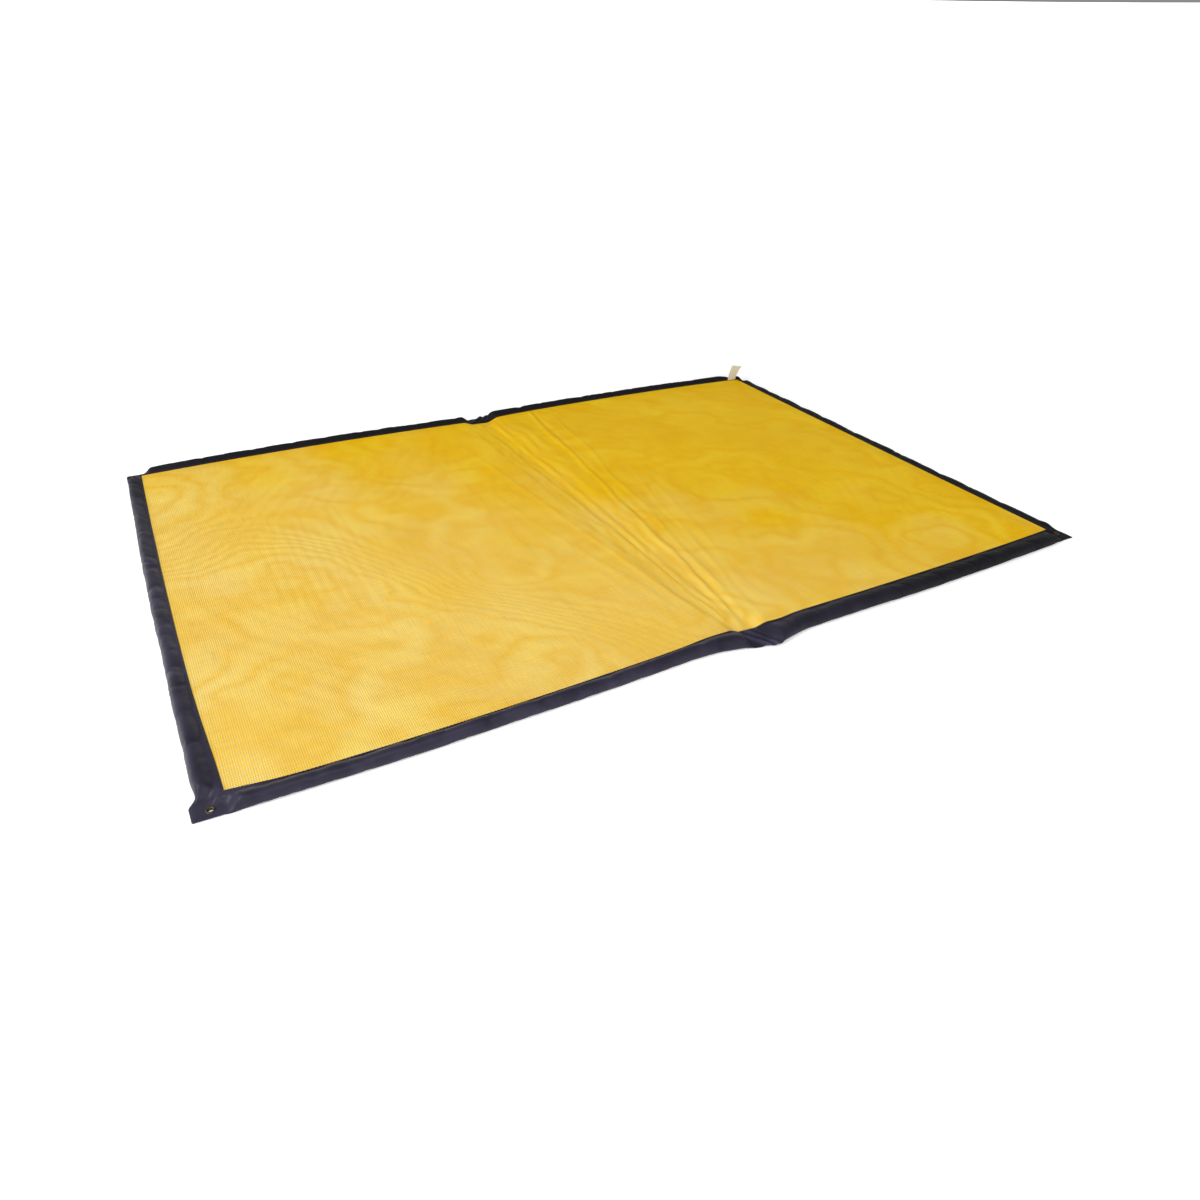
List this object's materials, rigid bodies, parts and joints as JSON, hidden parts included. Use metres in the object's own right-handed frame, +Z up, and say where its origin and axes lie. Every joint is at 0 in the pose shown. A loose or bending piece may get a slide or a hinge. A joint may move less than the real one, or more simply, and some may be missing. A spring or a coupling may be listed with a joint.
{
  "type": "folding spill mat",
  "caption": "Rectangular folding spill mat: mesh top over absorbent pads, foam-cored fabric border, flat eyeletted corners, a soft fold across the middle and a sewn-in label.",
  "frame": {"origin": "centre of the underside, on the floor, under the middle of the fold", "axes": "+X along the length towards the right-hand end, +Y towards the back long edge, +Z up"},
  "size_m": [1.5, 1.02, 0.0563],
  "materials": {
    "base_fabric": "coated waterproof fabric, matt",
    "border_fabric": "coated fabric, satin",
    "top_mesh": "coated open mesh",
    "absorbent_felt": "needle felt",
    "bund_foam": "closed-cell foam",
    "seam_thread": "bonded polyester thread",
    "eyelet_brass": "antique",
    "label_tape": "satin tape"
  },
  "bodies": {
    "left_panel": {"absorbent_pad_left": "absorbent_felt", "base_sheet_left": "base_fabric", "border_fold_back_left": "border_fabric", "border_fold_front_left": "border_fabric", "border_sleeve_back_left": "border_fabric", "border_sleeve_end_left": "border_fabric", "border_sleeve_front_left": "border_fabric", "corner_tab_back_left": "border_fabric", "corner_tab_front_left": "border_fabric", "eyelet_back_left": "eyelet_brass", "eyelet_front_left": "eyelet_brass", "eyelet_washer_back_left": "eyelet_brass", "eyelet_washer_front_left": "eyelet_brass", "foam_bund_back_left": "bund_foam", "foam_bund_end_left": "bund_foam", "foam_bund_front_left": "bund_foam", "mesh_top_left": "top_mesh", "seam_thread_back_left": "seam_thread", "seam_thread_end_left": "seam_thread", "seam_thread_front_left": "seam_thread"},
    "fold_strip": {"base_sheet_fold": "base_fabric", "mesh_top_fold": "top_mesh", "border_fold_front_middle": "border_fabric", "border_fold_back_middle": "border_fabric"},
    "right_panel": {"absorbent_pad_right": "absorbent_felt", "base_sheet_right": "base_fabric", "border_fold_back_right": "border_fabric", "border_fold_front_right": "border_fabric", "border_sleeve_back_right": "border_fabric", "border_sleeve_end_right": "border_fabric", "border_sleeve_front_right": "border_fabric", "corner_tab_back_right": "border_fabric", "corner_tab_front_right": "border_fabric", "eyelet_back_right": "eyelet_brass", "eyelet_front_right": "eyelet_brass", "eyelet_washer_back_right": "eyelet_brass", "eyelet_washer_front_right": "eyelet_brass", "foam_bund_back_right": "bund_foam", "foam_bund_end_right": "bund_foam", "foam_bund_front_right": "bund_foam", "mesh_top_right": "top_mesh", "seam_thread_back_right": "seam_thread", "seam_thread_end_right": "seam_thread", "seam_thread_front_right": "seam_thread"},
    "label_flap": {"care_label": "label_tape"}
  },
  "joints": [
    {"name": "left_fold", "type": "hinge", "parent": "left_panel", "child": "fold_strip", "pos_m": [-0.0135, 0, 0.0046], "axis": [0, -1, 0], "range_deg": [0, 90]},
    {"name": "right_fold", "type": "hinge", "parent": "fold_strip", "child": "right_panel", "pos_m": [0.0135, 0, 0.0046], "axis": [0, -1, 0], "range_deg": [0, 90]},
    {"name": "label_tip", "type": "hinge", "parent": "right_panel", "child": "label_flap", "pos_m": [0.71, 0.474, 0.011], "axis": [1, 0, 0], "range_deg": [0, 94]}
  ],
  "couplings": [
    {"joint": "label_tip", "follows": "right_fold", "ratio": 1.044}
  ]
}
